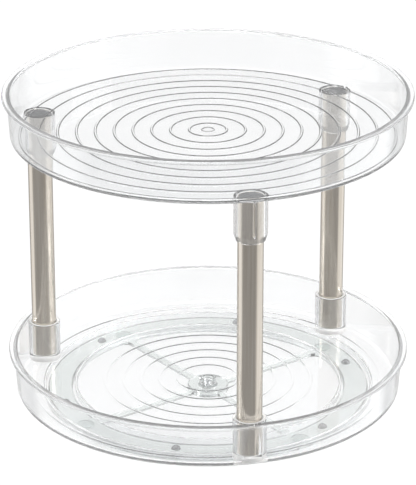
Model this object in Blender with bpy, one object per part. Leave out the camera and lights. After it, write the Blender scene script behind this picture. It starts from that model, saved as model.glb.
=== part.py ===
"""Two-tier turntable: two clear trays joined by three steel posts, turning on six balls in a clear base.

Metres, +Z up. The origin is on the table, under the middle of the base. The front is -Y.
"""

import math

import bmesh
import bpy
from mathutils import Matrix

MM = 0.001
GAP = 0.3 * MM  # between pieces that touch or nearly touch

# Trays: a flat floor, a leaning wall and a rolled lip. Heights are from the floor's underside.
LIP_RADIUS = 146.0 * MM
LIP_NOSE = 1.2 * MM
LIP_CREST = 1.3 * MM
WALL_TOP_RADIUS = 142.3 * MM
WALL_FOOT_RADIUS = 140.8 * MM
WALL = 2.4 * MM
FLOOR = 2.4 * MM
TRAY_HEIGHT = 32.5 * MM
OUTER_CORNER = 3.5 * MM
INNER_CORNER = 2.0 * MM
TIER_SPACING = 195.0 * MM

# Posts and the sleeves and sockets that hold them.
POST_CIRCLE = 128.4 * MM
POST_ANGLES = {"post_front": -77.3, "post_right": 42.7, "post_left": 162.7}
POST_RADIUS = 9.0 * MM
POST_WALL = 0.8 * MM
SOCKET_RADIUS = 11.8 * MM
SOCKET_HEIGHT = 29.3 * MM
SOCKET_PAD = 4.0 * MM
SLEEVE_LENGTH = 30.5 * MM
MOUTH_TAPER = 1.6 * MM
MOUTH_TAPER_LENGTH = 5.0 * MM
SLIT_WIDTH = 1.6 * MM
SLIT_END_MARGIN = 5.0 * MM

# Turntable base: a race ring, a hub and four webs that cross at the hub.
FOOT_PROUD = 1.2 * MM
RACE_INNER_RADIUS = 100.0 * MM
RACE_OUTER_RADIUS = 118.0 * MM
RACE_THICKNESS = 5.8 * MM
HUB_RADIUS = 15.0 * MM
HUB_THICKNESS = 5.0 * MM
WEB_WIDTH = 5.0 * MM
WEB_THICKNESS = 2.8 * MM
FIRST_WEB_ANGLE = 36.5
WEBS = 4

# Balls, each in its own pocket in the race ring.
BALL_RADIUS = 3.175 * MM
BALL_CIRCLE = 109.0 * MM
BALLS = 6
FIRST_BALL_ANGLE = -42.0
TRAY_UNDERSIDE = 9.6 * MM

# Ribs under the lower floor, one on each side of the race ring.
RIB = 2.0 * MM
INNER_RIB_RADIUS = 96.6 * MM
OUTER_RIB_RADIUS = 119.4 * MM
RIB_DEPTH = 4.6 * MM

# Centre pivot: a boss and spigot on the tray, held in the hub by a screw and washer.
BOSS_RADIUS = 6.5 * MM
BOSS_DEPTH = 3.0 * MM
SPIGOT_RADIUS = 3.2 * MM
SPIGOT_DEPTH = 6.2 * MM
PILOT_RADIUS = 1.75 * MM
PILOT_CEILING = 1.0 * MM
PIVOT_CLEARANCE = 0.4 * MM
COUNTERBORE_RADIUS = 7.2 * MM
COUNTERBORE_CEILING = 3.6 * MM
WASHER_RADIUS = 6.5 * MM
WASHER_THICKNESS = 0.8 * MM
SCREW_SHANK_RADIUS = 1.45 * MM
SCREW_HEAD_RADIUS = 3.4 * MM
SCREW_HEAD_THICKNESS = 0.9 * MM
SCREW_TIP = 8.6 * MM

# Non-slip pads, let into the underside of the race ring where the webs meet it.
FOOT_RADIUS = 6.0 * MM
FOOT_THICKNESS = 1.6 * MM
FOOT_RECESS = 0.7 * MM
FOOT_CHAMFER = 0.3 * MM

# Facets in a full turn.
TRAY_STEPS = 64
RING_STEPS = 48
SOCKET_STEPS = 24
POST_STEPS = 24
SMALL_STEPS = 20
BALL_STEPS = 12

SMOOTH_ANGLE = math.radians(35)
OVERLAP = 0.4 * MM  # how far a joined shape reaches into its neighbour

LOWER_RIM = TRAY_UNDERSIDE + TRAY_HEIGHT
LOWER_FLOOR_TOP = TRAY_UNDERSIDE + FLOOR
UPPER_UNDERSIDE = TRAY_UNDERSIDE + TIER_SPACING
BALL_CENTRE = TRAY_UNDERSIDE - GAP - BALL_RADIUS
BASE_UNDERSIDE = FOOT_PROUD


def clear_scene():
    for obj in list(bpy.data.objects):
        bpy.data.objects.remove(obj, do_unlink=True)


def material(name, colour, roughness, metallic=0.0, transmission=0.0, alpha=1.0, ior=1.5):
    made = bpy.data.materials.new(name)
    made.use_nodes = True
    shader = made.node_tree.nodes["Principled BSDF"]
    shader.inputs["Base Color"].default_value = (*colour, 1.0)
    shader.inputs["Roughness"].default_value = roughness
    shader.inputs["Metallic"].default_value = metallic
    shader.inputs["Transmission Weight"].default_value = transmission
    shader.inputs["Alpha"].default_value = alpha
    shader.inputs["IOR"].default_value = ior
    made.diffuse_color = (*colour, alpha)
    return made


def clear_plastic():
    return material("clear_plastic", (0.93, 0.95, 0.96), 0.04, transmission=1.0, alpha=0.35, ior=1.57)


def base_plastic():
    return material("base_plastic", (0.88, 0.92, 0.90), 0.08, transmission=1.0, alpha=0.45, ior=1.57)


def brushed_steel():
    return material("brushed_steel", (0.60, 0.57, 0.53), 0.32, metallic=1.0)


def bearing_steel():
    return material("bearing_steel", (0.55, 0.56, 0.58), 0.10, metallic=1.0)


def zinc_steel():
    return material("zinc_steel", (0.66, 0.67, 0.68), 0.28, metallic=1.0)


def soft_pad():
    return material("soft_pad", (0.78, 0.80, 0.80), 0.55, alpha=0.6)


def arc(centre, radius, start, end, parts):
    """Points (r, z) of an arc, from the start to the end angle in degrees."""
    points = []
    for i in range(parts + 1):
        turn = math.radians(start + (end - start) * i / parts)
        points.append((centre[0] + radius * math.cos(turn), centre[1] + radius * math.sin(turn)))
    return points


def on_circle(radius, degrees, z=0.0):
    """Moves a shape made at the origin out to a circle, with its +X pointing outward."""
    turn = Matrix.Rotation(math.radians(degrees), 4, "Z")
    return turn @ Matrix.Translation((radius, 0.0, z))


def link(name, mesh, finish=None, smooth=True):
    """Makes one object from a bmesh, which it frees."""
    bmesh.ops.recalc_face_normals(mesh, faces=mesh.faces)
    data = bpy.data.meshes.new(name)
    mesh.to_mesh(data)
    mesh.free()
    if smooth:
        data.shade_smooth()
        data.set_sharp_from_angle(angle=SMOOTH_ANGLE)
    if finish:
        data.materials.append(finish)
    obj = bpy.data.objects.new(name, data)
    bpy.context.scene.collection.objects.link(obj)
    return obj


def turned(name, outline, steps, finish=None):
    """Spins an (r, z) outline round +Z. An outline that leaves the axis comes back to it."""
    mesh = bmesh.new()
    verts = [mesh.verts.new((r, 0.0, z)) for r, z in outline]
    edges = [mesh.edges.new(pair) for pair in zip(verts, verts[1:])]
    if outline[0][0] > 0.0:
        edges.append(mesh.edges.new((verts[-1], verts[0])))
    bmesh.ops.spin(
        mesh, geom=verts + edges, axis=(0, 0, 1), cent=(0, 0, 0), angle=math.tau, steps=steps
    )
    bmesh.ops.remove_doubles(mesh, verts=mesh.verts, dist=0.001 * MM)
    return link(name, mesh, finish)


def box(name, low, high):
    mesh = bmesh.new()
    bmesh.ops.create_cube(mesh, size=1.0)
    size = [b - a for a, b in zip(low, high)]
    middle = [(a + b) / 2 for a, b in zip(low, high)]
    bmesh.ops.transform(
        mesh, matrix=Matrix.Translation(middle) @ Matrix.Diagonal((*size, 1.0)), verts=mesh.verts
    )
    return link(name, mesh, smooth=False)


def sphere(name, radius, finish=None):
    """A ball whose poles are on X, the axis that it rolls about."""
    mesh = bmesh.new()
    bmesh.ops.create_uvsphere(
        mesh, u_segments=BALL_STEPS, v_segments=BALL_STEPS * 3 // 4, radius=radius
    )
    bmesh.ops.transform(mesh, matrix=Matrix.Rotation(math.pi / 2, 4, "Y"), verts=mesh.verts)
    return link(name, mesh, finish)


def helper(obj, matrix=None):
    """Marks a shape as a tool for a Boolean, which isn't part of the object."""
    obj.hide_render = True
    obj.display_type = "WIRE"
    if matrix:
        obj.matrix_world = matrix
    return obj


def combine(obj, tools, operation):
    for tool in tools:
        step = obj.modifiers.new(tool.name, "BOOLEAN")
        step.solver = "EXACT"
        step.operation = operation
        step.object = tool


def slot_cutter(name, width, low, high, near, far):
    """A slit with a round lower end, cut outward along +X from near to far."""
    mesh = bmesh.new()
    outline = arc((0.0, low + width / 2), width / 2, 180, 360, 6)
    outline += [(width / 2, high), (-width / 2, high)]
    face = mesh.faces.new([mesh.verts.new((near, y, z)) for y, z in outline])
    swept = bmesh.ops.extrude_face_region(mesh, geom=[face])
    moved = [item for item in swept["geom"] if isinstance(item, bmesh.types.BMVert)]
    bmesh.ops.translate(mesh, vec=(far - near, 0, 0), verts=moved)
    return link(name, mesh, smooth=False)


def tray_outline():
    """Half a section of a tray, from the axis under the floor, round the lip, back to the axis."""
    foot_centre = (WALL_FOOT_RADIUS - OUTER_CORNER, OUTER_CORNER)
    nose_centre = (LIP_RADIUS - LIP_NOSE, TRAY_HEIGHT - LIP_NOSE)
    crest_centre = (WALL_TOP_RADIUS - WALL + LIP_CREST, TRAY_HEIGHT - LIP_CREST)
    floor_centre = (WALL_FOOT_RADIUS - WALL - INNER_CORNER, FLOOR + INNER_CORNER)
    outline = [(0.0, 0.0)]
    outline += arc(foot_centre, OUTER_CORNER, -90, 0, 3)
    outline += [(WALL_TOP_RADIUS, TRAY_HEIGHT - 2 * LIP_NOSE)]
    outline += arc(nose_centre, LIP_NOSE, -90, 90, 4)
    outline += arc(crest_centre, LIP_CREST, 90, 180, 2)
    outline += arc(floor_centre, INNER_CORNER, 0, -90, 2)
    outline += [(0.0, FLOOR)]
    return outline


def lower_tray_outline():
    """The tray's section with race ribs, boss, spigot and pilot hole under the floor."""
    under = [
        (0.0, FLOOR - PILOT_CEILING),
        (PILOT_RADIUS, FLOOR - PILOT_CEILING),
        (PILOT_RADIUS, -SPIGOT_DEPTH),
        (SPIGOT_RADIUS, -SPIGOT_DEPTH),
        (SPIGOT_RADIUS, -BOSS_DEPTH),
        (BOSS_RADIUS, -BOSS_DEPTH),
        (BOSS_RADIUS, 0.0),
    ]
    for radius in (INNER_RIB_RADIUS, OUTER_RIB_RADIUS):
        under += [
            (radius, 0.0),
            (radius, -RIB_DEPTH),
            (radius + RIB, -RIB_DEPTH),
            (radius + RIB, 0.0),
        ]
    return under + tray_outline()[1:]


def make_sleeve(name):
    """A sleeve that hangs from the upper floor. Heights are from the floor's underside."""
    bore = POST_RADIUS + GAP
    outline = [
        (SOCKET_RADIUS, FLOOR - OVERLAP / 2),
        (SOCKET_RADIUS, MOUTH_TAPER_LENGTH - SLEEVE_LENGTH),
        (SOCKET_RADIUS - MOUTH_TAPER, -SLEEVE_LENGTH),
        (bore, -SLEEVE_LENGTH),
        (bore, FLOOR - OVERLAP / 2),
    ]
    return turned(name, outline, SOCKET_STEPS)


def make_socket(name):
    """A socket that stands on the lower floor, with a pad that the post stops on."""
    bore = POST_RADIUS + GAP
    outline = [
        (0.0, SOCKET_PAD),
        (bore, SOCKET_PAD),
        (bore, SOCKET_HEIGHT),
        (SOCKET_RADIUS - MOUTH_TAPER, SOCKET_HEIGHT),
        (SOCKET_RADIUS, SOCKET_HEIGHT - MOUTH_TAPER_LENGTH),
        (SOCKET_RADIUS, -OVERLAP),
        (0.0, -OVERLAP),
    ]
    return turned(name, outline, SOCKET_STEPS)


def make_upper_tray(finish):
    tray = turned("upper_tray", tray_outline(), TRAY_STEPS, finish)
    tray.location.z = UPPER_UNDERSIDE
    sleeves = []
    slits = []
    for post, angle in POST_ANGLES.items():
        place = on_circle(POST_CIRCLE, angle, UPPER_UNDERSIDE)
        sleeves.append(helper(make_sleeve(f"{post}_sleeve"), place))
        slit = slot_cutter(
            f"{post}_slit",
            SLIT_WIDTH,
            SLIT_END_MARGIN - SLEEVE_LENGTH,
            -OVERLAP,
            POST_RADIUS - OVERLAP,
            SOCKET_RADIUS + OVERLAP,
        )
        slits.append(helper(slit, place))
    combine(tray, sleeves, "UNION")
    combine(tray, slits, "DIFFERENCE")
    return tray


def make_lower_tray(finish):
    tray = turned("lower_tray", lower_tray_outline(), TRAY_STEPS, finish)
    tray.location.z = TRAY_UNDERSIDE
    sockets = []
    for post, angle in POST_ANGLES.items():
        place = on_circle(POST_CIRCLE, angle, LOWER_FLOOR_TOP)
        sockets.append(helper(make_socket(f"{post}_socket"), place))
    combine(tray, sockets, "UNION")
    return tray


def make_posts(finish):
    """Open steel tubes, from the sockets' pads up to the upper floor."""
    low = LOWER_FLOOR_TOP + SOCKET_PAD + GAP
    high = UPPER_UNDERSIDE - GAP
    inside = POST_RADIUS - POST_WALL
    outline = [(POST_RADIUS, high), (POST_RADIUS, low), (inside, low), (inside, high)]
    posts = []
    for name, angle in POST_ANGLES.items():
        post = turned(name, outline, POST_STEPS, finish)
        post.matrix_world = on_circle(POST_CIRCLE, angle)
        posts.append(post)
    return posts


def make_base(finish):
    """The race ring with its webs and hub joined on, then the pockets cut."""
    race_top = BASE_UNDERSIDE + RACE_THICKNESS
    ring_outline = [
        (RACE_OUTER_RADIUS, race_top),
        (RACE_OUTER_RADIUS, BASE_UNDERSIDE),
        (RACE_INNER_RADIUS, BASE_UNDERSIDE),
        (RACE_INNER_RADIUS, race_top),
    ]
    base = turned("turntable_base", ring_outline, RING_STEPS, finish)
    hub_outline = [
        (HUB_RADIUS, BASE_UNDERSIDE + HUB_THICKNESS),
        (HUB_RADIUS, BASE_UNDERSIDE),
        (COUNTERBORE_RADIUS, BASE_UNDERSIDE),
        (COUNTERBORE_RADIUS, COUNTERBORE_CEILING),
        (SPIGOT_RADIUS + PIVOT_CLEARANCE, COUNTERBORE_CEILING),
        (SPIGOT_RADIUS + PIVOT_CLEARANCE, BASE_UNDERSIDE + HUB_THICKNESS),
    ]
    joined = []
    for i in range(WEBS):
        web = box(
            f"web_{i + 1}",
            (HUB_RADIUS - 4 * OVERLAP, -WEB_WIDTH / 2, BASE_UNDERSIDE + GAP),
            (RACE_INNER_RADIUS + 4 * OVERLAP, WEB_WIDTH / 2, BASE_UNDERSIDE + WEB_THICKNESS),
        )
        joined.append(helper(web, on_circle(0.0, FIRST_WEB_ANGLE + i * 360 / WEBS)))
    joined.append(helper(turned("hub", hub_outline, SMALL_STEPS)))
    combine(base, joined, "UNION")

    pockets = []
    for i in range(BALLS):
        pocket = sphere(f"ball_pocket_{i + 1}", BALL_RADIUS + GAP)
        angle = FIRST_BALL_ANGLE + i * 360 / BALLS
        pockets.append(helper(pocket, on_circle(BALL_CIRCLE, angle, BALL_CENTRE)))
    recess_outline = [
        (0.0, BASE_UNDERSIDE + FOOT_RECESS),
        (FOOT_RADIUS + GAP, BASE_UNDERSIDE + FOOT_RECESS),
        (FOOT_RADIUS + GAP, 0.0),
        (0.0, 0.0),
    ]
    for i in range(WEBS):
        recess = turned(f"foot_recess_{i + 1}", recess_outline, SMALL_STEPS)
        angle = FIRST_WEB_ANGLE + i * 360 / WEBS
        pockets.append(helper(recess, on_circle(BALL_CIRCLE, angle)))
    combine(base, pockets, "DIFFERENCE")
    return base


def make_balls(finish):
    balls = []
    for i in range(BALLS):
        ball = sphere(f"bearing_ball_{i + 1}", BALL_RADIUS, finish)
        angle = FIRST_BALL_ANGLE + i * 360 / BALLS
        ball.matrix_world = on_circle(BALL_CIRCLE, angle, BALL_CENTRE)
        balls.append(ball)
    return balls


def make_feet(finish):
    outline = [
        (0.0, FOOT_THICKNESS),
        (FOOT_RADIUS, FOOT_THICKNESS),
        (FOOT_RADIUS, FOOT_CHAMFER),
        (FOOT_RADIUS - FOOT_CHAMFER, 0.0),
        (0.0, 0.0),
    ]
    feet = []
    for i in range(WEBS):
        foot = turned(f"base_foot_{i + 1}", outline, SMALL_STEPS, finish)
        foot.matrix_world = on_circle(BALL_CIRCLE, FIRST_WEB_ANGLE + i * 360 / WEBS)
        feet.append(foot)
    return feet


def make_washer(finish):
    """Clamped on the spigot's end, wider than the hub's bore, so the tray can't lift off."""
    top = TRAY_UNDERSIDE - SPIGOT_DEPTH - GAP
    low = top - WASHER_THICKNESS
    hole = SCREW_SHANK_RADIUS + GAP
    outline = [(WASHER_RADIUS, top), (WASHER_RADIUS, low), (hole, low), (hole, top)]
    return turned("pivot_washer", outline, SMALL_STEPS, finish)


def make_screw(finish):
    """A pan-head screw, driven up into the spigot from below."""
    head_top = TRAY_UNDERSIDE - SPIGOT_DEPTH - 2 * GAP - WASHER_THICKNESS
    head_low = head_top - SCREW_HEAD_THICKNESS
    edge = SCREW_HEAD_THICKNESS / 2
    outline = [(0.0, SCREW_TIP), (SCREW_SHANK_RADIUS / 3, SCREW_TIP)]
    outline += [(SCREW_SHANK_RADIUS, SCREW_TIP - SCREW_SHANK_RADIUS)]
    outline += [(SCREW_SHANK_RADIUS, head_top), (SCREW_HEAD_RADIUS, head_top)]
    outline += [(SCREW_HEAD_RADIUS, head_top - edge), (SCREW_HEAD_RADIUS - edge, head_low)]
    outline += [(0.0, head_low)]
    return turned("pivot_screw", outline, SMALL_STEPS, finish)


def hang_on_axis(name, children):
    """An empty on a joint's axis, which carries the pieces that turn with it."""
    axis = bpy.data.objects.new(name, None)
    bpy.context.scene.collection.objects.link(axis)
    for child in children:
        child.parent = axis
    return axis


def main():
    clear_scene()
    clear = clear_plastic()
    zinc = zinc_steel()
    turning = [make_upper_tray(clear), make_lower_tray(clear), *make_posts(brushed_steel())]
    turning += [make_screw(zinc), make_washer(zinc)]
    make_base(base_plastic())
    make_balls(bearing_steel())
    make_feet(soft_pad())
    hang_on_axis("turntable_axis", turning)


main()
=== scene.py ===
"""The looks of the two-tier turntable: clear trays, steel posts, a clear base and steel balls.

Everything is in metres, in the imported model's frame: +Z up, the front is -Y, the table is z = 0.
"""

import math

import bmesh
import bpy
from mathutils import Matrix, Vector

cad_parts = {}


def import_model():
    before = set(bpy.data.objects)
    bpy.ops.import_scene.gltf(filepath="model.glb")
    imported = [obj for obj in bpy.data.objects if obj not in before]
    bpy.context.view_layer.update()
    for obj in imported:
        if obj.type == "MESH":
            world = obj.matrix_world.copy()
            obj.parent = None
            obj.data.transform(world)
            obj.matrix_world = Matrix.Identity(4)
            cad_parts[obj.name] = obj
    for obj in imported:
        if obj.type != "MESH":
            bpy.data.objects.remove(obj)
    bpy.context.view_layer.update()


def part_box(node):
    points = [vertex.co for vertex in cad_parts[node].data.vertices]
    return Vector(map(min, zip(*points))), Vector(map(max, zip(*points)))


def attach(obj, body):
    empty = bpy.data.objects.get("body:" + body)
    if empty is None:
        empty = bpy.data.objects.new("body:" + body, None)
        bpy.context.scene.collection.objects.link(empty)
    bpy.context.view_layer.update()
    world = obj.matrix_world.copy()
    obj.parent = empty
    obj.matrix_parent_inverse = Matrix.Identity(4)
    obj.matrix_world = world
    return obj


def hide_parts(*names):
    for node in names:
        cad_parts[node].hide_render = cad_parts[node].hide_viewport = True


MM = 0.001
GAP = 0.3 * MM

# Trays. Heights are from the floor's underside.
LIP_RADIUS = 146.0 * MM
LIP_NOSE = 1.2 * MM
LIP_CREST = 1.3 * MM
WALL_TOP_RADIUS = 142.3 * MM
WALL_FOOT_RADIUS = 140.8 * MM
WALL = 2.4 * MM
FLOOR = 2.4 * MM
TRAY_HEIGHT = 32.5 * MM
OUTER_CORNER = 3.5 * MM
INNER_CORNER = 2.0 * MM
NECK_FILLET = 0.9 * MM

# Rings moulded in the floors: crisp in the upper one, broad and soft in the lower one.
RING_PITCH = 13.37 * MM
CRISP_RING = (2.1 * MM, 0.6 * MM, 0.50 * MM)  # width, flank, height
SOFT_RING = (3.4 * MM, 1.5 * MM, 0.26 * MM)
SMALL_RING = (1.5 * MM, 0.6 * MM, 0.45 * MM)
UPPER_RINGS = 10
LOWER_RINGS = 5
LOWER_LAST_RING = 76.0 * MM
LOWER_OUTER_RING = 127.6 * MM
CENTRE_RING_RADIUS = 4.4 * MM

# Posts, sleeves and sockets.
POST_RADIUS = 9.0 * MM
POST_WALL = 0.8 * MM
SOCKET_RADIUS = 11.8 * MM
SOCKET_HEIGHT = 29.3 * MM
SOCKET_PAD = 4.0 * MM
SOCKET_SPOT = 0.15 * MM  # depth of the ground spot under a socket
SLEEVE_LENGTH = 30.5 * MM
MOUTH_TAPER = 1.6 * MM
MOUTH_TAPER_LENGTH = 5.0 * MM
SLIT_WIDTH = 1.6 * MM
SLIT_END_MARGIN = 5.0 * MM
POST_EDGE = 0.15 * MM
SLEEVE_EDGE = 0.3 * MM
SOCKET_EDGE = 0.3 * MM
SOCKET_CROWN = ((0.6 * MM, 0.0), (0.15 * MM, 0.2 * MM), (0.0, 0.7 * MM))  # inward, downward

# Base.
RACE_INNER_RADIUS = 100.0 * MM
RACE_OUTER_RADIUS = 118.0 * MM
RACE_THICKNESS = 5.8 * MM
RACE_EDGE = 1.6 * MM
HUB_RADIUS = 15.0 * MM
HUB_THICKNESS = 5.0 * MM
HUB_EDGE = 0.5 * MM
WEB_WIDTH = 5.0 * MM
WEB_THICKNESS = 2.8 * MM
WEB_FLARE = 5.0 * MM
FIRST_WEB_ANGLE = 36.5
WEBS = 4
BALL_RADIUS = 3.175 * MM
BALLS = 6

# Ribs, boss and spigot under the lower floor.
RIB = 2.0 * MM
INNER_RIB_RADIUS = 96.6 * MM
OUTER_RIB_RADIUS = 119.4 * MM
RIB_DEPTH = 4.6 * MM
RIB_EDGE = 0.95 * MM
BOSS_EDGE = 0.35 * MM
BOSS_RADIUS = 6.5 * MM
BOSS_DEPTH = 3.0 * MM
SPIGOT_RADIUS = 3.2 * MM
SPIGOT_DEPTH = 6.2 * MM
PILOT_RADIUS = 1.75 * MM
PILOT_CEILING = 1.0 * MM
PIVOT_CLEARANCE = 0.4 * MM
COUNTERBORE_RADIUS = 7.2 * MM
COUNTERBORE_CEILING = 3.6 * MM
SCREW_HEAD_RADIUS = 3.4 * MM
SCREW_HOLE_RADIUS = 1.75 * MM
SCREW_SHANK_RADIUS = 1.45 * MM
SCREW_HEAD_HEIGHT = 0.9 * MM
THREAD_PITCH = 0.7 * MM
THREAD_DEPTH = 0.28 * MM
THREAD_RUNOUT = 0.4 * MM
HEAD_BEVEL = 0.1 * MM
CROSS_HALF_LENGTH = 1.9 * MM
CROSS_HALF_WIDTH = 0.42 * MM
CROSS_DEPTH = 0.55 * MM
WASHER_EDGE = 0.15 * MM
FOOT_RADIUS = 6.0 * MM
FOOT_RECESS = 0.7 * MM
FOOT_EDGE = 0.4 * MM
FOOT_GROOVE = (4.2 * MM, 4.0 * MM, 3.4 * MM, 3.2 * MM)  # radii from its outer to its inner edge
FOOT_GROOVE_DEPTH = 0.25 * MM

TRAY_STEPS = 192
SOCKET_STEPS = 64
POST_STEPS = 96
SMALL_STEPS = 48
SMOOTH_ANGLE = math.radians(32)
OVERLAP = 0.4 * MM
SUPPORT = 0.15 * MM
NEAR = 0.05 * MM  # how far off a face may be when it is picked by its place

# Studio. Greys are shares of its strength, at degrees from the front (right positive) or upward.
FLOOR_MATTE = 0.12
STUDIO_STRENGTH = 1.25
MIRRORED = (
    (-180, 0.60), (-146, 0.56), (-132, 0.30), (-116, 1.0), (-84, 1.0), (-72, 0.34),
    (50, 0.34), (64, 0.95), (124, 1.0), (136, 0.30), (148, 0.56), (180, 0.60),
)
SKY = ((0, 0.12), (12, 0.20), (20, 0.50), (32, 0.40), (46, 0.36), (64, 0.75), (90, 0.85))
STEEP = (-48, -36)  # mirrored rays steeper than this see plain white
STEEP_GREY = 0.85

# Camera and lamps. A lamp is its name, place, size and power in watts, and aims at LAMP_TARGET.
CAMERA_DISTANCE = 1.9
CAMERA_PITCH = math.radians(22.5)
CAMERA_SIDESTEP = -0.003  # share of the distance
CAMERA_TARGET = (0.0, 0.0, 0.1200)
FOCAL_SHARE = 2624.0 / 485.0  # focal length over the picture's longer side
SENSOR_WIDTH = 36.0
LAMP_TARGET = (0.0, 0.0, 0.1)
LAMPS = (
    ("key_right", (1.6, -0.3, 1.3), (1.0, 1.6), 26.0),
    ("fill_left", (-1.7, 0.1, 1.1), (0.8, 1.6), 20.0),
    ("overhead", (0.0, 0.5, 2.2), (1.6, 1.6), 24.0),
)

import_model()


# ---------------------------------------------------------------- shapes


def middle(node):
    low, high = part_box(node)
    return (Vector(low) + Vector(high)) / 2


def arc(centre, radius, start, end, parts):
    """Points (r, z) of an arc, from the start to the end angle in degrees."""
    points = []
    for i in range(parts + 1):
        turn = math.radians(start + (end - start) * i / parts)
        points.append((centre[0] + radius * math.cos(turn), centre[1] + radius * math.sin(turn)))
    return points


def supported(outline, closed):
    """The outline with a point just inside each end of its long runs, so that flats shade flat."""
    result = []
    pairs = list(zip(outline, outline[1:] + outline[:1]))
    for i, (a, b) in enumerate(pairs):
        result.append(a)
        if i == len(pairs) - 1 and not closed:
            break
        length = math.dist(a, b)
        if length > 5 * SUPPORT:
            t = SUPPORT / length
            for share in (t, 1 - t):
                result.append((a[0] + (b[0] - a[0]) * share, a[1] + (b[1] - a[1]) * share))
    return result


def link(name, mesh, finish=None, smooth=True):
    bmesh.ops.recalc_face_normals(mesh, faces=mesh.faces)
    data = bpy.data.meshes.new(name)
    mesh.to_mesh(data)
    mesh.free()
    if smooth:
        data.shade_smooth()
        data.set_sharp_from_angle(angle=SMOOTH_ANGLE)
    if finish:
        data.materials.append(finish)
    obj = bpy.data.objects.new(name, data)
    bpy.context.scene.collection.objects.link(obj)
    return obj


def turned(name, outline, steps, finish=None):
    """Spins an (r, z) outline round +Z. An outline that leaves the axis comes back to it."""
    closed = outline[0][0] > 0.0
    mesh = bmesh.new()
    verts = [mesh.verts.new((r, 0.0, z)) for r, z in supported(outline, closed)]
    edges = [mesh.edges.new(pair) for pair in zip(verts, verts[1:])]
    if closed:
        edges.append(mesh.edges.new((verts[-1], verts[0])))
    bmesh.ops.spin(
        mesh, geom=verts + edges, axis=(0, 0, 1), cent=(0, 0, 0), angle=math.tau, steps=steps
    )
    bmesh.ops.remove_doubles(mesh, verts=mesh.verts, dist=0.001 * MM)
    return link(name, mesh, finish)


def prism(name, outline, low, high):
    """A closed prism on an outline in X and Y, from the low to the high Z."""
    mesh = bmesh.new()
    face = mesh.faces.new([mesh.verts.new((x, y, low)) for x, y in outline])
    swept = bmesh.ops.extrude_face_region(mesh, geom=[face])
    moved = [item for item in swept["geom"] if isinstance(item, bmesh.types.BMVert)]
    bmesh.ops.translate(mesh, vec=(0, 0, high - low), verts=moved)
    return link(name, mesh, smooth=False)


def slot_cutter(name, width, low, high, near, far):
    """A slit with a round lower end, cut outward along +X from near to far."""
    mesh = bmesh.new()
    outline = arc((0.0, low + width / 2), width / 2, 180, 360, 12)
    outline += [(width / 2, high), (-width / 2, high)]
    face = mesh.faces.new([mesh.verts.new((near, y, z)) for y, z in outline])
    swept = bmesh.ops.extrude_face_region(mesh, geom=[face])
    moved = [item for item in swept["geom"] if isinstance(item, bmesh.types.BMVert)]
    bmesh.ops.translate(mesh, vec=(far - near, 0, 0), verts=moved)
    return link(name, mesh, smooth=False)


def sphere(name, radius, around, along, finish=None):
    mesh = bmesh.new()
    bmesh.ops.create_uvsphere(mesh, u_segments=around, v_segments=along, radius=radius)
    return link(name, mesh, finish)


def placed(obj, location, degrees=0.0):
    obj.matrix_world = Matrix.Translation(location) @ Matrix.Rotation(
        math.radians(degrees), 4, "Z"
    )
    return obj


def outward(point):
    return math.degrees(math.atan2(point[1], point[0]))


def settled(obj, steps):
    """Applies Boolean steps [(operation, tools), ...] to the mesh, then removes the tools."""
    for operation, tools in steps:
        for tool in tools:
            step = obj.modifiers.new(tool.name, "BOOLEAN")
            step.solver = "EXACT"
            step.operation = operation
            step.object = tool
    bpy.context.view_layer.update()
    graph = bpy.context.evaluated_depsgraph_get()
    data = bpy.data.meshes.new_from_object(obj.evaluated_get(graph))
    obj.modifiers.clear()
    old, obj.data = obj.data, data
    bpy.data.meshes.remove(old)
    for _, tools in steps:
        for tool in tools:
            bpy.data.objects.remove(tool)
    data.shade_smooth()
    data.set_sharp_from_angle(angle=SMOOTH_ANGLE)
    return obj


# ---------------------------------------------------------------- materials


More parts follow.
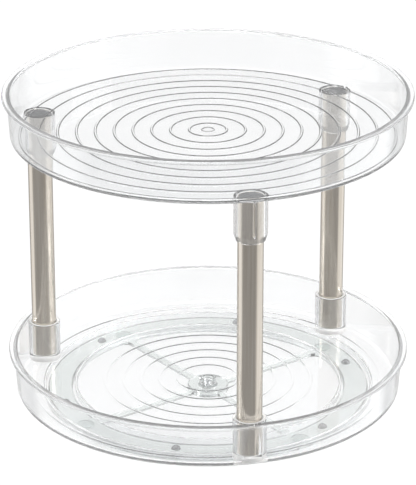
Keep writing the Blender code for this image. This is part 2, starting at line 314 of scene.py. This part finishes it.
class Nodes:
    """A small helper for a material's node tree."""

    def __init__(self, name):
        self.material = bpy.data.materials.new(name)
        self.material.use_nodes = True
        self.tree = self.material.node_tree
        self.shader = self.tree.nodes["Principled BSDF"]
        self.output = self.tree.nodes["Material Output"]

    def add(self, kind, **values):
        node = self.tree.nodes.new(kind)
        for key, value in values.items():
            if hasattr(node, key):
                setattr(node, key, value)
            else:
                node.inputs[key.replace("_", " ")].default_value = value
        return node

    def join(self, source, target):
        self.tree.links.new(source, target)

    def set(self, **values):
        for key, value in values.items():
            self.shader.inputs[key.replace("_", " ")].default_value = value

    def noise(self, scale, stretch=(1, 1, 1), detail=3.0, roughness=0.5):
        """Noise on the object's own coordinates, in features per metre."""
        where = self.add("ShaderNodeTexCoord")
        stretched = self.add("ShaderNodeMapping")
        stretched.inputs["Scale"].default_value = stretch
        self.join(where.outputs["Object"], stretched.inputs["Vector"])
        made = self.add("ShaderNodeTexNoise")
        made.inputs["Scale"].default_value = scale
        made.inputs["Detail"].default_value = detail
        made.inputs["Roughness"].default_value = roughness
        self.join(stretched.outputs["Vector"], made.inputs["Vector"])
        return made.outputs["Fac"]

    def ramp(self, factor, *stops):
        """A colour ramp with stops (position, colour)."""
        made = self.add("ShaderNodeValToRGB")
        elements = made.color_ramp.elements
        while len(elements) < len(stops):
            elements.new(0.5)
        for element, (position, colour) in zip(elements, stops):
            element.position = position
            element.color = (*colour, 1.0)
        self.join(factor, made.inputs["Fac"])
        return made.outputs["Color"]

    def span(self, factor, low, high):
        """Maps a factor from 0..1 to low..high."""
        made = self.add("ShaderNodeMapRange")
        made.inputs["To Min"].default_value = low
        made.inputs["To Max"].default_value = high
        self.join(factor, made.inputs["Value"])
        return made.outputs["Result"]

    def bump(self, height, strength, distance):
        made = self.add("ShaderNodeBump")
        made.inputs["Strength"].default_value = strength
        made.inputs["Distance"].default_value = distance
        self.join(height, made.inputs["Height"])
        self.join(made.outputs["Normal"], self.shader.inputs["Normal"])

    def let_lamps_through(self, tint):
        """Rays from lamps go straight through, so clear plastic casts hardly any shadow."""
        path = self.add("ShaderNodeLightPath")
        clear = self.add("ShaderNodeBsdfTransparent")
        clear.inputs["Color"].default_value = (*tint, 1.0)
        either = self.add("ShaderNodeMixShader")
        self.join(path.outputs["Is Shadow Ray"], either.inputs["Fac"])
        self.join(self.shader.outputs["BSDF"], either.inputs[1])
        self.join(clear.outputs["BSDF"], either.inputs[2])
        self.join(either.outputs["Shader"], self.output.inputs["Surface"])


def clear_plastic():
    n = Nodes("clear_plastic")
    tint = n.ramp(n.noise(22.0), (0.35, (0.945, 0.950, 0.955)), (0.65, (0.960, 0.965, 0.970)))
    n.join(tint, n.shader.inputs["Base Color"])
    n.join(n.span(n.noise(160.0), 0.0, 0.035), n.shader.inputs["Roughness"])
    n.set(IOR=1.49, Transmission_Weight=0.97)
    n.bump(n.noise(38.0, detail=1.0), 0.12, 0.0006)
    n.let_lamps_through((0.97, 0.97, 0.97))
    return n.material


def frosted_plastic():
    """The ground mouths of the sockets, and the ground spots under them."""
    n = Nodes("frosted_plastic")
    tint = n.ramp(n.noise(300.0), (0.35, (0.93, 0.92, 0.90)), (0.65, (0.97, 0.96, 0.95)))
    n.join(tint, n.shader.inputs["Base Color"])
    n.join(n.span(n.noise(700.0), 0.35, 0.5), n.shader.inputs["Roughness"])
    n.set(IOR=1.49, Transmission_Weight=0.25)
    n.let_lamps_through((0.97, 0.97, 0.97))
    return n.material


def edge_plastic():
    """Clear plastic with a slight haze, for the lips and the ribs."""
    n = Nodes("edge_plastic")
    tint = n.ramp(n.noise(60.0), (0.35, (0.955, 0.96, 0.965)), (0.65, (0.97, 0.975, 0.98)))
    n.join(tint, n.shader.inputs["Base Color"])
    n.join(n.span(n.noise(300.0), 0.10, 0.22), n.shader.inputs["Roughness"])
    n.set(IOR=1.49, Transmission_Weight=0.86)
    n.let_lamps_through((0.97, 0.97, 0.97))
    return n.material


def base_plastic():
    n = Nodes("base_plastic")
    tint = n.ramp(n.noise(30.0), (0.35, (0.84, 0.875, 0.86)), (0.65, (0.88, 0.91, 0.895)))
    n.join(tint, n.shader.inputs["Base Color"])
    n.join(n.span(n.noise(220.0), 0.04, 0.16), n.shader.inputs["Roughness"])
    n.set(IOR=1.49, Transmission_Weight=1.0)
    n.bump(n.noise(60.0, detail=2.0), 0.15, 0.0005)
    n.let_lamps_through((0.93, 0.95, 0.94))
    return n.material


def brushed_steel():
    n = Nodes("brushed_steel")
    streaks = n.noise(900.0, stretch=(1, 1, 0.012), detail=6.0, roughness=0.7)
    broad = n.noise(160.0, stretch=(1, 1, 0.03), detail=2.0)
    both = n.add("ShaderNodeMix", data_type="FLOAT")
    both.inputs[0].default_value = 0.45
    n.join(streaks, both.inputs[2])
    n.join(broad, both.inputs[3])
    mixed = both.outputs[0]
    colour = n.ramp(
        mixed,
        (0.36, (0.54, 0.495, 0.43)),
        (0.50, (0.61, 0.56, 0.495)),
        (0.64, (0.68, 0.635, 0.57)),
    )
    n.join(colour, n.shader.inputs["Base Color"])
    n.join(n.span(streaks, 0.13, 0.27), n.shader.inputs["Roughness"])
    n.set(Metallic=1.0, Anisotropic=0.5)
    n.bump(streaks, 0.25, 0.00006)
    return n.material


def bore_painted_shade():
    """The inside of a tube: rough, with a near-black colour that is painted shade."""
    n = Nodes("bore_painted_shade")
    # Painted shade: the bore's colour is kept near black, so the inside of the tube looks shaded
    # under any lamp.
    colour = n.ramp(n.noise(420.0), (0.3, (0.025, 0.025, 0.032)), (0.7, (0.05, 0.05, 0.06)))
    n.join(colour, n.shader.inputs["Base Color"])
    n.join(n.span(n.noise(900.0), 0.45, 0.65), n.shader.inputs["Roughness"])
    n.set(Metallic=0.3)
    return n.material


def bearing_steel():
    n = Nodes("bearing_steel")
    # Painted shade: the balls' colour is kept dark grey, darker than bare bearing steel, so that
    # they look shaded in their pockets under the floor.
    colour = n.ramp(n.noise(700.0), (0.3, (0.22, 0.22, 0.225)), (0.7, (0.30, 0.30, 0.305)))
    n.join(colour, n.shader.inputs["Base Color"])
    n.join(n.span(n.noise(1500.0), 0.04, 0.14), n.shader.inputs["Roughness"])
    n.set(Metallic=1.0)
    return n.material


def zinc_steel():
    n = Nodes("zinc_steel")
    colour = n.ramp(n.noise(500.0), (0.3, (0.56, 0.57, 0.60)), (0.7, (0.74, 0.75, 0.76)))
    n.join(colour, n.shader.inputs["Base Color"])
    n.join(n.span(n.noise(900.0), 0.20, 0.38), n.shader.inputs["Roughness"])
    n.set(Metallic=1.0)
    n.bump(n.noise(1800.0), 0.2, 0.00004)
    return n.material


def soft_pad():
    n = Nodes("soft_pad")
    colour = n.ramp(n.noise(260.0), (0.3, (0.70, 0.72, 0.72)), (0.7, (0.82, 0.84, 0.84)))
    n.join(colour, n.shader.inputs["Base Color"])
    n.join(n.span(n.noise(700.0), 0.45, 0.65), n.shader.inputs["Roughness"])
    n.set(IOR=1.45, Transmission_Weight=0.35)
    n.bump(n.noise(1400.0), 0.3, 0.00005)
    return n.material


# ---------------------------------------------------------------- trays


def ring(radius, top, form):
    """A ring on a floor with S-shaped flanks, met while the outline comes in from the rim."""
    width, flank, height = form
    points = []
    for i in range(6):
        share = i / 5
        rise = (1 - math.cos(math.pi * share)) / 2
        points.append((radius + width / 2 - flank * share, top + height * rise))
    return points + [(2 * radius - r, z) for r, z in reversed(points)]


def tray_outline(rings, form):
    """Half a tray's section, from the axis under the floor, round the lip, back to the axis."""
    foot_centre = (WALL_FOOT_RADIUS - OUTER_CORNER, OUTER_CORNER)
    nose_centre = (LIP_RADIUS - LIP_NOSE, TRAY_HEIGHT - LIP_NOSE)
    crest_centre = (WALL_TOP_RADIUS - WALL + LIP_CREST, TRAY_HEIGHT - LIP_CREST)
    floor_centre = (WALL_FOOT_RADIUS - WALL - INNER_CORNER, FLOOR + INNER_CORNER)
    neck = TRAY_HEIGHT - 2 * LIP_NOSE
    outline = [(0.0, 0.0)]
    outline += arc(foot_centre, OUTER_CORNER, -90, 0, 8)
    outline += arc((WALL_TOP_RADIUS + NECK_FILLET, neck - NECK_FILLET), NECK_FILLET, 178, 90, 4)
    outline += arc(nose_centre, LIP_NOSE, -90, 90, 12)[1:]
    outline += arc(crest_centre, LIP_CREST, 90, 180, 6)
    outline += arc(floor_centre, INNER_CORNER, 0, -90, 6)
    for radius in sorted(rings, reverse=True):
        outline += ring(radius, FLOOR, form)
    outline += ring(CENTRE_RING_RADIUS, FLOOR, SMALL_RING)
    outline.append((0.0, FLOOR))
    return outline


def under_outline():
    """Race ribs, boss, spigot and pilot hole under the lower floor, from the axis outward."""
    under = [
        (0.0, FLOOR - PILOT_CEILING),
        (PILOT_RADIUS, FLOOR - PILOT_CEILING),
        (PILOT_RADIUS, -SPIGOT_DEPTH),
        (SPIGOT_RADIUS - BOSS_EDGE, -SPIGOT_DEPTH),
        (SPIGOT_RADIUS, -SPIGOT_DEPTH + BOSS_EDGE),
        (SPIGOT_RADIUS, -BOSS_DEPTH),
        (BOSS_RADIUS - BOSS_EDGE, -BOSS_DEPTH),
        (BOSS_RADIUS, -BOSS_DEPTH + BOSS_EDGE),
        (BOSS_RADIUS, 0.0),
    ]
    tip = -RIB_DEPTH + RIB_EDGE
    for radius in (INNER_RIB_RADIUS, OUTER_RIB_RADIUS):
        under.append((radius, 0.0))
        under += arc((radius + RIB_EDGE, tip), RIB_EDGE, 180, 270, 6)
        under += arc((radius + RIB - RIB_EDGE, tip), RIB_EDGE, 270, 360, 6)
        under.append((radius + RIB, 0.0))
    return under


POSTS = ("post_front", "post_left", "post_right")
POST_CENTRES = [middle(post).to_2d() for post in POSTS]


def refinished(obj, finish, chosen):
    """Gives the faces that a test picks another material."""
    obj.data.materials.append(finish)
    slot = len(obj.data.materials) - 1
    for face in obj.data.polygons:
        if chosen(face.center, face.normal):
            face.material_index = slot
    return obj


def on_lip(spot, normal):
    """The lip's flange and its rounded inner edge."""
    radius = math.hypot(spot.x, spot.y)
    flange = radius > WALL_TOP_RADIUS + NEAR
    crest = radius > WALL_TOP_RADIUS - WALL - NEAR and spot.z > TRAY_HEIGHT - LIP_CREST
    return flange or crest


def on_edges(spot, normal):
    """The lip, the race ribs and the round corner under the wall of the lower tray."""
    radius = math.hypot(spot.x, spot.y)
    rib = spot.z < -NEAR and radius > RACE_INNER_RADIUS / 2
    corner = radius > WALL_FOOT_RADIUS - OUTER_CORNER and spot.z < OUTER_CORNER
    return on_lip(spot, normal) or rib or corner


def socket_mouth_or_foot(spot, normal):
    """The rim that a post goes in at, and the ground spot under its socket."""
    mouth = abs(spot.z - FLOOR - SOCKET_HEIGHT) < 2 * NEAR
    foot = abs(spot.z - SOCKET_SPOT) < NEAR
    if abs(normal.z) < 0.9 or not (mouth or foot):
        return False
    return min((spot.to_2d() - centre).length for centre in POST_CENTRES) < SOCKET_RADIUS


def slit_side(spot, normal):
    """The two sides of the slit in each sleeve."""
    for centre in POST_CENTRES:
        away = centre.normalized()
        along = Vector((-away.y, away.x))
        offset = spot.to_2d() - centre
        inside = abs(offset.dot(along)) < SLIT_WIDTH / 2 + NEAR
        facing = abs(normal.to_2d().dot(along)) > 0.7
        if inside and facing and POST_RADIUS < offset.dot(away) < SOCKET_RADIUS:
            return True
    return False


def upper_tray(finish, edges):
    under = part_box("upper_tray")[1][2] - TRAY_HEIGHT
    rings = [RING_PITCH * (i + 1) for i in range(UPPER_RINGS)]
    tray = turned("upper_tray_shell", tray_outline(rings, CRISP_RING), TRAY_STEPS, finish)
    tray.location.z = under
    bore, edge = POST_RADIUS + GAP, SLEEVE_EDGE
    outline = [(SOCKET_RADIUS, FLOOR - OVERLAP)]
    outline += [(SOCKET_RADIUS, MOUTH_TAPER_LENGTH - SLEEVE_LENGTH)]
    outline += [(SOCKET_RADIUS - MOUTH_TAPER + edge / 3, edge - SLEEVE_LENGTH)]
    outline += [(SOCKET_RADIUS - MOUTH_TAPER - edge / 2, -SLEEVE_LENGTH)]
    outline += [(bore + edge / 2, -SLEEVE_LENGTH), (bore, edge / 2 - SLEEVE_LENGTH)]
    outline += [(bore, FLOOR - OVERLAP)]
    sleeves, slits = [], []
    for post in POSTS:
        centre = middle(post)
        spot = (centre[0], centre[1], under)
        facing = outward(centre)
        sleeve = turned(f"{post}_sleeve", outline, SOCKET_STEPS)
        sleeves.append(placed(sleeve, spot, facing))
        slit = slot_cutter(
            f"{post}_slit",
            SLIT_WIDTH,
            SLIT_END_MARGIN - SLEEVE_LENGTH,
            -OVERLAP,
            POST_RADIUS - OVERLAP,
            SOCKET_RADIUS + OVERLAP,
        )
        slits.append(placed(slit, spot, facing))
    settled(tray, [("UNION", sleeves), ("DIFFERENCE", slits)])
    refinished(tray, edges, on_lip)
    return refinished(tray, edges, slit_side)


def lower_tray(finish, edges, frost):
    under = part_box("lower_tray")[1][2] - TRAY_HEIGHT
    rings = [LOWER_LAST_RING - RING_PITCH * i for i in range(LOWER_RINGS)] + [LOWER_OUTER_RING]
    outline = under_outline() + tray_outline(rings, SOFT_RING)[1:]
    tray = turned("lower_tray_shell", outline, TRAY_STEPS, finish)
    tray.location.z = under
    bore, edge = POST_RADIUS + GAP, SOCKET_EDGE
    outline = [(0.0, SOCKET_PAD), (bore, SOCKET_PAD), (bore, SOCKET_HEIGHT - edge)]
    outline += [(bore + edge, SOCKET_HEIGHT)]
    outline += [(SOCKET_RADIUS - inward, SOCKET_HEIGHT - down) for inward, down in SOCKET_CROWN]
    outline += [(SOCKET_RADIUS, -OVERLAP), (0.0, -OVERLAP)]
    spot_outline = [(0.0, SOCKET_SPOT), (SOCKET_RADIUS, SOCKET_SPOT)]
    spot_outline += [(SOCKET_RADIUS, -OVERLAP), (0.0, -OVERLAP)]
    sockets, spots = [], []
    for post in POSTS:
        centre = middle(post)
        socket = turned(f"{post}_socket", outline, SOCKET_STEPS)
        sockets.append(placed(socket, (centre[0], centre[1], under + FLOOR), outward(centre)))
        spot = turned(f"{post}_spot", spot_outline, SOCKET_STEPS)
        spots.append(placed(spot, (centre[0], centre[1], under), outward(centre)))
    settled(tray, [("UNION", sockets), ("DIFFERENCE", spots)])
    refinished(tray, edges, on_edges)
    return refinished(tray, frost, socket_mouth_or_foot)


# ---------------------------------------------------------------- posts, base, small parts


def post(node, finish, bore):
    """An open tube, brushed outside; inside it is rough and painted near black as painted shade.
    """
    low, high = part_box(node)
    edge = POST_EDGE
    inside = POST_RADIUS - POST_WALL
    low_z, high_z = low[2], high[2]
    outline = [(POST_RADIUS - edge, high_z), (POST_RADIUS, high_z - edge)]
    outline += [(POST_RADIUS, low_z + edge), (POST_RADIUS - edge, low_z)]
    outline += [(inside + edge, low_z), (inside, low_z + edge)]
    outline += [(inside, high_z - edge), (inside + edge, high_z)]
    tube = turned(f"{node}_tube", outline, POST_STEPS, finish)
    # The inner faces get the near-black bore finish: painted shade inside the tube.
    tube.data.materials.append(bore)
    for face in tube.data.polygons:
        inner = math.hypot(face.center.x, face.center.y) < inside + edge / 2
        if inner and abs(face.normal.z) < 0.5:
            face.material_index = 1
    centre = middle(node)
    return placed(tube, (centre[0], centre[1], 0.0), outward(centre))


def base(finish):
    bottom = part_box("turntable_base")[0][2]
    edge = RACE_EDGE
    top = bottom + RACE_THICKNESS
    outline = arc((RACE_OUTER_RADIUS - edge, top - edge), edge, 90, 0, 8)
    outline += arc((RACE_OUTER_RADIUS - edge, bottom + edge), edge, 0, -90, 8)
    outline += arc((RACE_INNER_RADIUS + edge, bottom + edge), edge, -90, -180, 8)
    outline += arc((RACE_INNER_RADIUS + edge, top - edge), edge, 180, 90, 8)
    ring_body = turned("base_ring", outline, TRAY_STEPS, finish)
    bore = SPIGOT_RADIUS + PIVOT_CLEARANCE
    hub_corner = (HUB_RADIUS - HUB_EDGE, bottom + HUB_THICKNESS - HUB_EDGE)
    hub_outline = arc(hub_corner, HUB_EDGE, 90, 0, 4)
    hub_outline += [(HUB_RADIUS, bottom), (COUNTERBORE_RADIUS, bottom)]
    hub_outline += [(COUNTERBORE_RADIUS, COUNTERBORE_CEILING), (bore, COUNTERBORE_CEILING)]
    hub_outline += [(bore, bottom + HUB_THICKNESS)]
    joined = [turned("hub", hub_outline, SMALL_STEPS)]
    half, flare = WEB_WIDTH / 2, WEB_FLARE
    near, far = HUB_RADIUS - 4 * OVERLAP, RACE_INNER_RADIUS + 4 * OVERLAP
    for i in range(WEBS):
        side = arc((RACE_INNER_RADIUS - flare, half + flare), flare, -90, -20, 6)
        side = [(x, y) for x, y in side if x < far]
        outline = [(near, -half)] + [(x, -y) for x, y in side] + [(far, -side[-1][1])]
        outline += [(far, side[-1][1])] + list(reversed(side)) + [(near, half)]
        web = prism(f"web_{i + 1}", outline, bottom + GAP, bottom + WEB_THICKNESS)
        joined.append(placed(web, (0, 0, 0), FIRST_WEB_ANGLE + i * 360 / WEBS))
    cut = []
    for i in range(BALLS):
        pocket = sphere(f"pocket_{i + 1}", BALL_RADIUS + GAP, 32, 24)
        cut.append(placed(pocket, middle(f"bearing_ball_{i + 1}")))
    recess = [(0.0, bottom + FOOT_RECESS), (FOOT_RADIUS + GAP, bottom + FOOT_RECESS)]
    recess += [(FOOT_RADIUS + GAP, 0.0), (0.0, 0.0)]
    for i in range(WEBS):
        tool = turned(f"recess_{i + 1}", recess, SMALL_STEPS)
        foot = middle(f"base_foot_{i + 1}")
        cut.append(placed(tool, (foot[0], foot[1], 0.0)))
    return settled(ring_body, [("UNION", joined), ("DIFFERENCE", cut)])


def foot(node, finish):
    low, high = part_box(node)
    tall = high[2] - low[2]
    groove = zip(FOOT_GROOVE, (0.0, FOOT_GROOVE_DEPTH, FOOT_GROOVE_DEPTH, 0.0))
    outline = [(0.0, tall), (FOOT_RADIUS, tall)]
    outline += arc((FOOT_RADIUS - FOOT_EDGE, FOOT_EDGE), FOOT_EDGE, 0, -90, 4)
    outline += [*groove, (0.0, 0.0)]
    pad = turned(f"{node}_pad", outline, SMALL_STEPS, finish)
    centre = middle(node)
    return placed(pad, (centre[0], centre[1], low[2]))


def washer(finish):
    low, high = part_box("pivot_washer")
    edge = WASHER_EDGE
    outer, hole = high[0], SCREW_HOLE_RADIUS
    outline = [(outer - edge, high[2]), (outer, high[2] - edge), (outer, low[2] + edge)]
    outline += [(outer - edge, low[2]), (hole + edge, low[2]), (hole, low[2] + edge)]
    outline += [(hole, high[2] - edge), (hole + edge, high[2])]
    return turned("pivot_washer_disc", outline, SMALL_STEPS, finish)


def screw(finish):
    """Pan head with a cross recess, and a threaded shank."""
    low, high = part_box("pivot_screw")
    head, pitch, depth = SCREW_HEAD_HEIGHT, THREAD_PITCH, THREAD_DEPTH
    shoulder, crown = low[2] + head, head * 0.8
    outline = [(0.0, high[2])]
    tip = high[2] - SCREW_SHANK_RADIUS
    outline += [(SCREW_SHANK_RADIUS / 3, high[2]), (SCREW_SHANK_RADIUS - depth, tip)]
    z = tip
    while z - pitch > shoulder + THREAD_RUNOUT:
        outline += [(SCREW_SHANK_RADIUS, z - pitch / 2), (SCREW_SHANK_RADIUS - depth, z - pitch)]
        z -= pitch
    outline += [(SCREW_SHANK_RADIUS - depth, shoulder), (SCREW_HEAD_RADIUS - HEAD_BEVEL, shoulder)]
    outline += arc((SCREW_HEAD_RADIUS - crown, shoulder - HEAD_BEVEL), crown, 0, -90, 6)
    outline += [(0.0, low[2])]
    body = turned("pivot_screw_body", outline, SMALL_STEPS, finish)
    arms = []
    for i in range(2):
        half, width = CROSS_HALF_LENGTH, CROSS_HALF_WIDTH
        box = [(-half, -width), (half, -width), (half, width), (-half, width)]
        arm = prism(f"cross_{i}", box, low[2] - OVERLAP, low[2] + CROSS_DEPTH)
        arms.append(placed(arm, (0, 0, 0), 90 * i))
    return settled(body, [("DIFFERENCE", arms)])


# ---------------------------------------------------------------- stage


def floor_paper():
    """White paper to look at, also through plastic. What is mirrored once is the studio instead.

    From below the paper isn't there, so that the underside can be looked at.
    """
    made = bpy.data.materials.new("stage_floor")
    made.use_nodes = True
    nodes, links = made.node_tree.nodes, made.node_tree.links
    nodes.clear()
    out = nodes.new("ShaderNodeOutputMaterial")
    glow = nodes.new("ShaderNodeEmission")
    matte = nodes.new("ShaderNodeBsdfDiffuse")
    matte.inputs["Color"].default_value = (0.92, 0.92, 0.92, 1.0)
    paper = nodes.new("ShaderNodeMixShader")
    paper.inputs["Fac"].default_value = FLOOR_MATTE
    path = nodes.new("ShaderNodeLightPath")
    mirrored = nodes.new("ShaderNodeMath")
    mirrored.operation = "COMPARE"
    mirrored.inputs[1].default_value = 1.0
    mirrored.inputs[2].default_value = 0.5
    side = nodes.new("ShaderNodeNewGeometry")
    unseen = nodes.new("ShaderNodeMath")
    unseen.operation = "MAXIMUM"
    seen = nodes.new("ShaderNodeMixShader")
    open_air = nodes.new("ShaderNodeBsdfTransparent")
    links.new(glow.outputs["Emission"], paper.inputs[1])
    links.new(matte.outputs["BSDF"], paper.inputs[2])
    links.new(path.outputs["Glossy Depth"], mirrored.inputs[0])
    links.new(mirrored.outputs["Value"], unseen.inputs[0])
    links.new(side.outputs["Backfacing"], unseen.inputs[1])
    links.new(unseen.outputs["Value"], seen.inputs["Fac"])
    links.new(paper.outputs["Shader"], seen.inputs[1])
    links.new(open_air.outputs["BSDF"], seen.inputs[2])
    links.new(seen.outputs["Shader"], out.inputs["Surface"])
    return made


def stage():
    mesh = bmesh.new()
    bmesh.ops.create_circle(mesh, cap_ends=True, segments=96, radius=6.0)
    floor = link("stage_floor", mesh, floor_paper(), smooth=False)
    floor.location.z = -0.0002


def lamp(name, location, size, power):
    """A soft lamp that lights the object but isn't mirrored in it, so that no side washes out."""
    data = bpy.data.lights.new(name, "AREA")
    data.shape = "RECTANGLE"
    data.size, data.size_y = size
    data.energy = power
    obj = bpy.data.objects.new(name, data)
    bpy.context.scene.collection.objects.link(obj)
    obj.visible_glossy = False
    obj.location = location
    aim = Vector(LAMP_TARGET) - Vector(location)
    obj.rotation_euler = aim.to_track_quat("-Z", "Y").to_euler()


def grey_ramp(nodes, stops):
    """A colour ramp whose stops are (position, grey)."""
    made = nodes.new("ShaderNodeValToRGB")
    elements = made.color_ramp.elements
    while len(elements) < len(stops):
        elements.new(0.5)
    for element, (position, grey) in zip(elements, stops):
        element.position = position
        element.color = (grey, grey, grey, 1.0)
    return made


def world():
    """The studio. Above the table it goes by height, and its dark bands draw the plastic's edges.

    Below it, where only mirrored rays go, it goes by compass, and it is white straight down.
    """
    made = bpy.data.worlds.new("studio")
    bpy.context.scene.world = made
    made.use_nodes = True
    nodes, links = made.node_tree.nodes, made.node_tree.links
    back = nodes["Background"]
    where = nodes.new("ShaderNodeTexCoord")
    parts = nodes.new("ShaderNodeSeparateXYZ")
    front = nodes.new("ShaderNodeMath")
    front.operation = "MULTIPLY"
    front.inputs[1].default_value = -1.0
    compass = nodes.new("ShaderNodeMath")
    compass.operation = "ARCTAN2"
    share = nodes.new("ShaderNodeMapRange")
    share.inputs["From Min"].default_value = -math.pi
    share.inputs["From Max"].default_value = math.pi
    around = grey_ramp(nodes, [(angle / 360 + 0.5, grey) for angle, grey in MIRRORED])
    upward = grey_ramp(nodes, [(math.sin(math.radians(angle)), grey) for angle, grey in SKY])
    below = nodes.new("ShaderNodeMath")
    below.operation = "LESS_THAN"
    below.inputs[1].default_value = 0.0
    steepness = nodes.new("ShaderNodeMapRange")
    steepness.interpolation_type = "SMOOTHSTEP"
    steepness.inputs["From Min"].default_value = math.sin(math.radians(STEEP[0]))
    steepness.inputs["From Max"].default_value = math.sin(math.radians(STEEP[1]))
    mirrored = nodes.new("ShaderNodeMix")
    mirrored.data_type = "RGBA"
    mirrored.inputs[6].default_value = (STEEP_GREY, STEEP_GREY, STEEP_GREY, 1.0)
    shade = nodes.new("ShaderNodeMix")
    shade.data_type = "RGBA"
    links.new(where.outputs["Generated"], parts.inputs["Vector"])
    links.new(parts.outputs["Z"], steepness.inputs["Value"])
    links.new(steepness.outputs["Result"], mirrored.inputs[0])
    links.new(around.outputs["Color"], mirrored.inputs[7])
    links.new(parts.outputs["Y"], front.inputs[0])
    links.new(parts.outputs["X"], compass.inputs[0])
    links.new(front.outputs["Value"], compass.inputs[1])
    links.new(compass.outputs["Value"], share.inputs["Value"])
    links.new(share.outputs["Result"], around.inputs["Fac"])
    links.new(parts.outputs["Z"], upward.inputs["Fac"])
    links.new(parts.outputs["Z"], below.inputs[0])
    links.new(below.outputs["Value"], shade.inputs[0])
    links.new(upward.outputs["Color"], shade.inputs[6])
    links.new(mirrored.outputs[2], shade.inputs[7])
    links.new(shade.outputs[2], back.inputs["Color"])
    back.inputs["Strength"].default_value = STUDIO_STRENGTH


def camera():
    data = bpy.data.cameras.new("camera")
    data.sensor_width = SENSOR_WIDTH
    data.lens = FOCAL_SHARE * SENSOR_WIDTH
    data.clip_end = 20.0
    obj = bpy.data.objects.new("camera", data)
    bpy.context.scene.collection.objects.link(obj)
    target = Vector(CAMERA_TARGET)
    back = Vector((CAMERA_SIDESTEP, -math.cos(CAMERA_PITCH), math.sin(CAMERA_PITCH)))
    obj.location = target + back * CAMERA_DISTANCE
    obj.rotation_euler = (target - obj.location).to_track_quat("-Z", "Y").to_euler()
    bpy.context.scene.camera = obj


# ---------------------------------------------------------------- putting it together


def stand_for(piece, body, slot, *nodes):
    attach(piece, body)
    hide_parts(*nodes)


def main():
    clear, zinc, steel = clear_plastic(), zinc_steel(), brushed_steel()
    balls, pads, bore = bearing_steel(), soft_pad(), bore_painted_shade()
    edges, frost = edge_plastic(), frosted_plastic()
    stand_for(upper_tray(clear, edges), "turntable", "clear_plastic", "upper_tray")
    stand_for(lower_tray(clear, edges, frost), "turntable", "clear_plastic", "lower_tray")
    for node in POSTS:
        stand_for(post(node, steel, bore), "turntable", "brushed_steel", node)
    stand_for(base(base_plastic()), "base", "base_plastic", "turntable_base")
    for i in range(BALLS):
        node = f"bearing_ball_{i + 1}"
        ball = placed(sphere(f"{node}_sphere", BALL_RADIUS, 48, 32, balls), middle(node))
        stand_for(ball, f"ball_{i + 1}", "bearing_steel", node)
    for i in range(WEBS):
        node = f"base_foot_{i + 1}"
        stand_for(foot(node, pads), "base", "soft_pad", node)
    stand_for(washer(zinc), "turntable", "zinc_steel", "pivot_washer")
    stand_for(screw(zinc), "turntable", "zinc_steel", "pivot_screw")

    stage()
    world()
    for settings in LAMPS:
        lamp(*settings)
    camera()
    bpy.context.scene.view_settings.view_transform = "Standard"


main()
